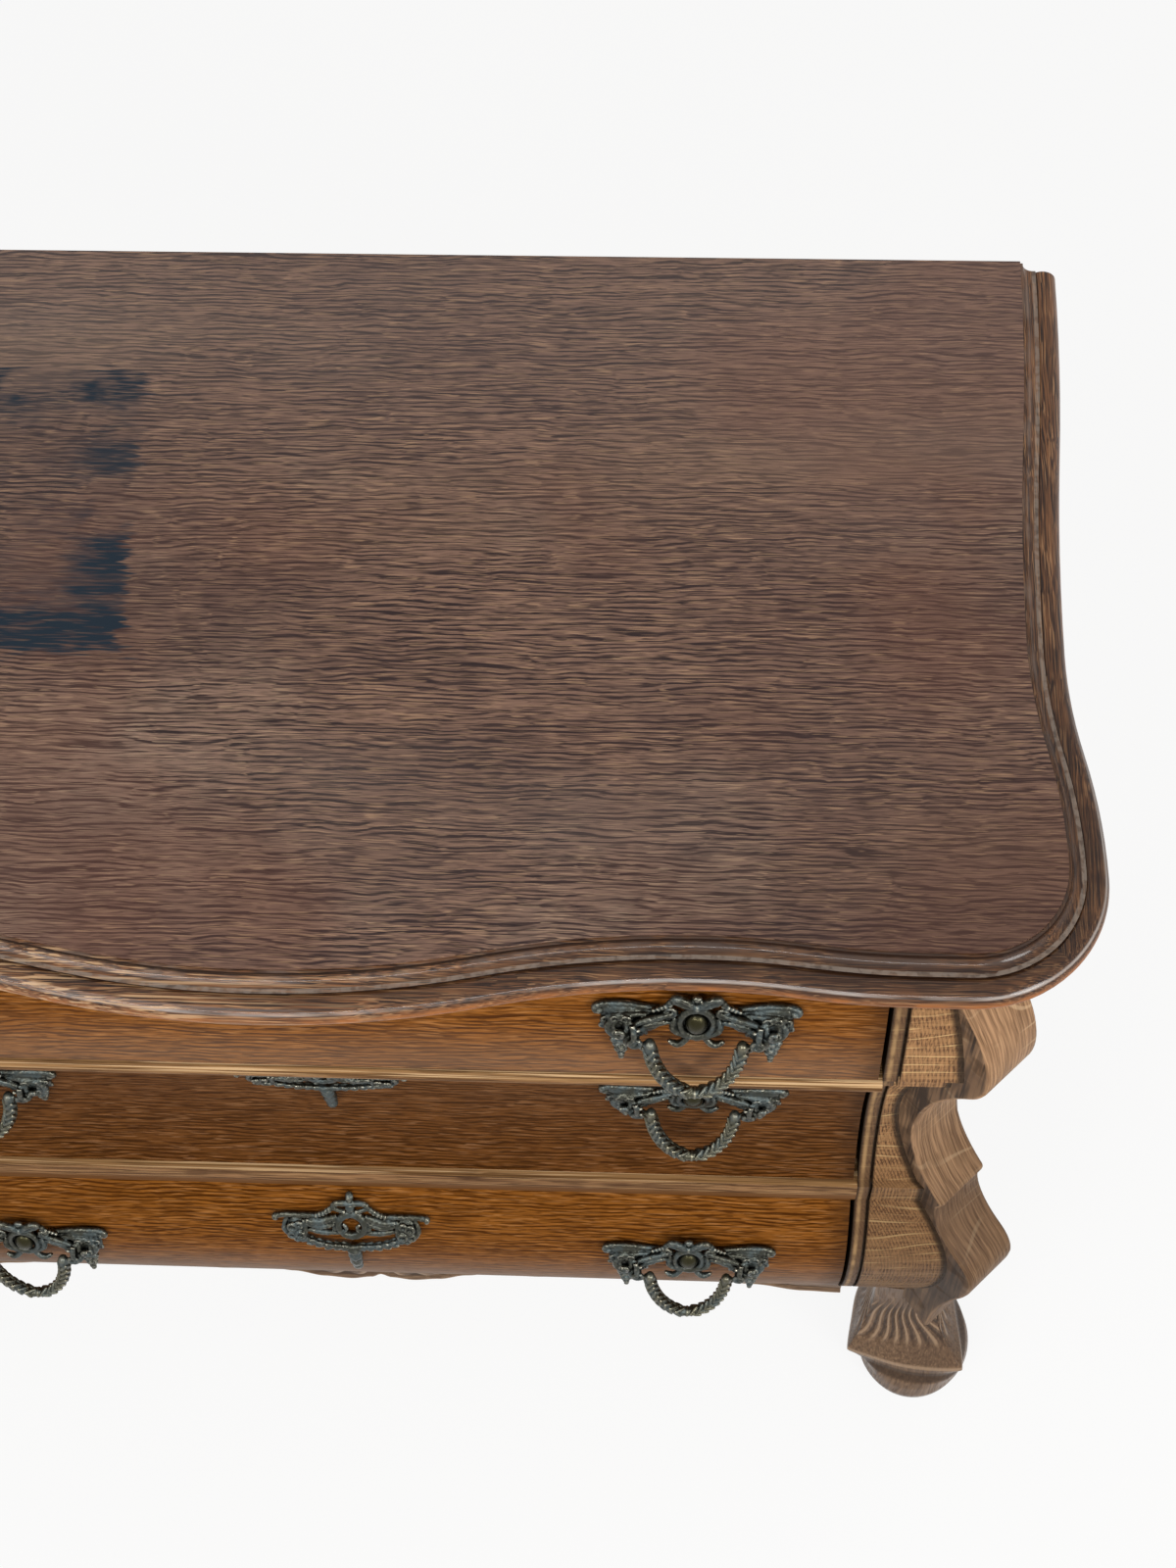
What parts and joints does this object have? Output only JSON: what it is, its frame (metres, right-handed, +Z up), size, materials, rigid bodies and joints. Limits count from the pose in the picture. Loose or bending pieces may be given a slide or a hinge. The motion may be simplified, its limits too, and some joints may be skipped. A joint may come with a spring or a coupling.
{
  "type": "bombe chest of drawers",
  "caption": "Bombe chest of drawers in dark oak with a moulded serpentine top, scrolled corner posts, hoofed front feet, locks and hanging bronze bail handles.",
  "frame": {"origin": "on the floor, under the centre of the overall box", "axes": "+Z up, drawers face and slide out along -Y, +X along the width to the right as seen from the front with the drawers towards the viewer"},
  "size_m": [1.0112, 0.557, 0.86],
  "materials": {
    "oak_top": "dark stained, waxed, worn",
    "oak_front": "honey brown, waxed",
    "oak_inside": "plain, unpolished",
    "bronze": "antique patina, rubbed edges",
    "lock_iron": "dull, oiled",
    "screw_steel": "plain"
  },
  "bodies": {
    "carcase": {"top_panel": "oak_top", "top_moulding_front": "oak_top", "top_moulding_left": "oak_top", "top_moulding_right": "oak_top", "side_panel_left": "oak_front", "side_panel_right": "oak_front", "top_rail": "oak_front", "rail_upper": "oak_front", "rail_lower": "oak_front", "base_rail": "oak_front", "front_apron": "oak_front", "stile_left": "oak_front", "stile_right": "oak_front", "post_left": "oak_front", "post_right": "oak_front", "front_foot_left": "oak_front", "front_foot_right": "oak_front", "back_panel": "oak_inside", "bottom_board": "oak_inside", "back_posts": "oak_inside", "rear_feet": "oak_inside", "drawer_runners": "oak_inside", "kickers": "oak_inside", "drawer_stops": "oak_inside"},
    "drawer_top": {"drawer_top_front": "oak_front", "drawer_top_side_left": "oak_inside", "drawer_top_side_right": "oak_inside", "drawer_top_back": "oak_inside", "drawer_top_bottom": "oak_inside", "drawer_top_lock": "lock_iron", "escutcheon_top": "bronze", "handle_plates_top": "bronze", "handle_screws_top": "screw_steel"},
    "bolt_top": {"drawer_top_bolt": "lock_iron"},
    "bail_top_left": {"bail_top_left": "bronze"},
    "bail_top_right": {"bail_top_right": "bronze"},
    "drawer_middle": {"drawer_middle_front": "oak_front", "drawer_middle_side_left": "oak_inside", "drawer_middle_side_right": "oak_inside", "drawer_middle_back": "oak_inside", "drawer_middle_bottom": "oak_inside", "drawer_middle_lock": "lock_iron", "escutcheon_middle": "bronze", "handle_plates_middle": "bronze", "handle_screws_middle": "screw_steel"},
    "bolt_middle": {"drawer_middle_bolt": "lock_iron"},
    "bail_middle_left": {"bail_middle_left": "bronze"},
    "bail_middle_right": {"bail_middle_right": "bronze"},
    "drawer_bottom": {"drawer_bottom_front": "oak_front", "drawer_bottom_side_left": "oak_inside", "drawer_bottom_side_right": "oak_inside", "drawer_bottom_back": "oak_inside", "drawer_bottom_bottom": "oak_inside", "drawer_bottom_lock": "lock_iron", "escutcheon_bottom": "bronze", "handle_plates_bottom": "bronze", "handle_screws_bottom": "screw_steel"},
    "bolt_bottom": {"drawer_bottom_bolt": "lock_iron"},
    "bail_bottom_left": {"bail_bottom_left": "bronze"},
    "bail_bottom_right": {"bail_bottom_right": "bronze"}
  },
  "joints": [
    {"name": "drawer_top_slide", "type": "slide", "parent": "carcase", "child": "drawer_top", "axis": [0, -1, 0], "range_m": [0, 0.3]},
    {"name": "bail_top_left_hinge", "type": "hinge", "parent": "drawer_top", "child": "bail_top_left", "pos_m": [-0.255, -0.22957, 0.708], "axis": [-1, 0, 0], "range_deg": [0, 120]},
    {"name": "bail_top_right_hinge", "type": "hinge", "parent": "drawer_top", "child": "bail_top_right", "pos_m": [0.255, -0.22957, 0.708], "axis": [-1, 0, 0], "range_deg": [0, 120]},
    {"name": "bolt_top_slide", "type": "slide", "parent": "drawer_top", "child": "bolt_top", "axis": [0, 0, 1], "range_m": [0, 0.008]},
    {"name": "drawer_middle_slide", "type": "slide", "parent": "carcase", "child": "drawer_middle", "axis": [0, -1, 0], "range_m": [0, 0.31]},
    {"name": "bail_middle_left_hinge", "type": "hinge", "parent": "drawer_middle", "child": "bail_middle_left", "pos_m": [-0.255, -0.20876, 0.534], "axis": [-1, 0, 0], "range_deg": [0, 120]},
    {"name": "bail_middle_right_hinge", "type": "hinge", "parent": "drawer_middle", "child": "bail_middle_right", "pos_m": [0.255, -0.20876, 0.534], "axis": [-1, 0, 0], "range_deg": [0, 120]},
    {"name": "bolt_middle_slide", "type": "slide", "parent": "drawer_middle", "child": "bolt_middle", "axis": [0, 0, 1], "range_m": [0, 0.008]},
    {"name": "drawer_bottom_slide", "type": "slide", "parent": "carcase", "child": "drawer_bottom", "axis": [0, -1, 0], "range_m": [0, 0.32]},
    {"name": "bail_bottom_left_hinge", "type": "hinge", "parent": "drawer_bottom", "child": "bail_bottom_left", "pos_m": [-0.255, -0.26058, 0.326], "axis": [-1, 0, 0], "range_deg": [0, 120]},
    {"name": "bail_bottom_right_hinge", "type": "hinge", "parent": "drawer_bottom", "child": "bail_bottom_right", "pos_m": [0.255, -0.26058, 0.326], "axis": [-1, 0, 0], "range_deg": [0, 120]},
    {"name": "bolt_bottom_slide", "type": "slide", "parent": "drawer_bottom", "child": "bolt_bottom", "axis": [0, 0, 1], "range_m": [0, 0.008]}
  ]
}
